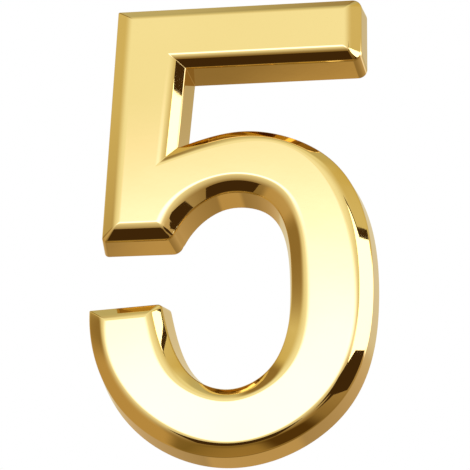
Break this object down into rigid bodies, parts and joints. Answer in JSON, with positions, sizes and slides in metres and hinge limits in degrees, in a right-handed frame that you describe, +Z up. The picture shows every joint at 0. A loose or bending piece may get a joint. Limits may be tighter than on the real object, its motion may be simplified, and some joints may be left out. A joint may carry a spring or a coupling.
{
  "type": "adhesive door number",
  "caption": "Self-adhesive door number: a hollow bevelled and gold-plated digit five with a foam pad and release paper behind it.",
  "frame": {"origin": "on the plane of the door, behind the middle of the stroke that forms the top of the digit's bowl", "axes": "+Z up as the digit is read, +X to the reader's right, +Y into the door; the digit faces -Y"},
  "size_m": [0.0304, 0.0054, 0.05],
  "materials": {
    "gold_plating": "bright gold electroplate on a moulded plastic shell",
    "foam": "white closed-cell foam, tacky on both faces",
    "release_paper": "siliconised cream paper, slight sheen"
  },
  "bodies": {
    "root": {"number_body": "gold_plating", "adhesive_pad": "foam", "release_liner": "release_paper"}
  },
  "joints": []
}
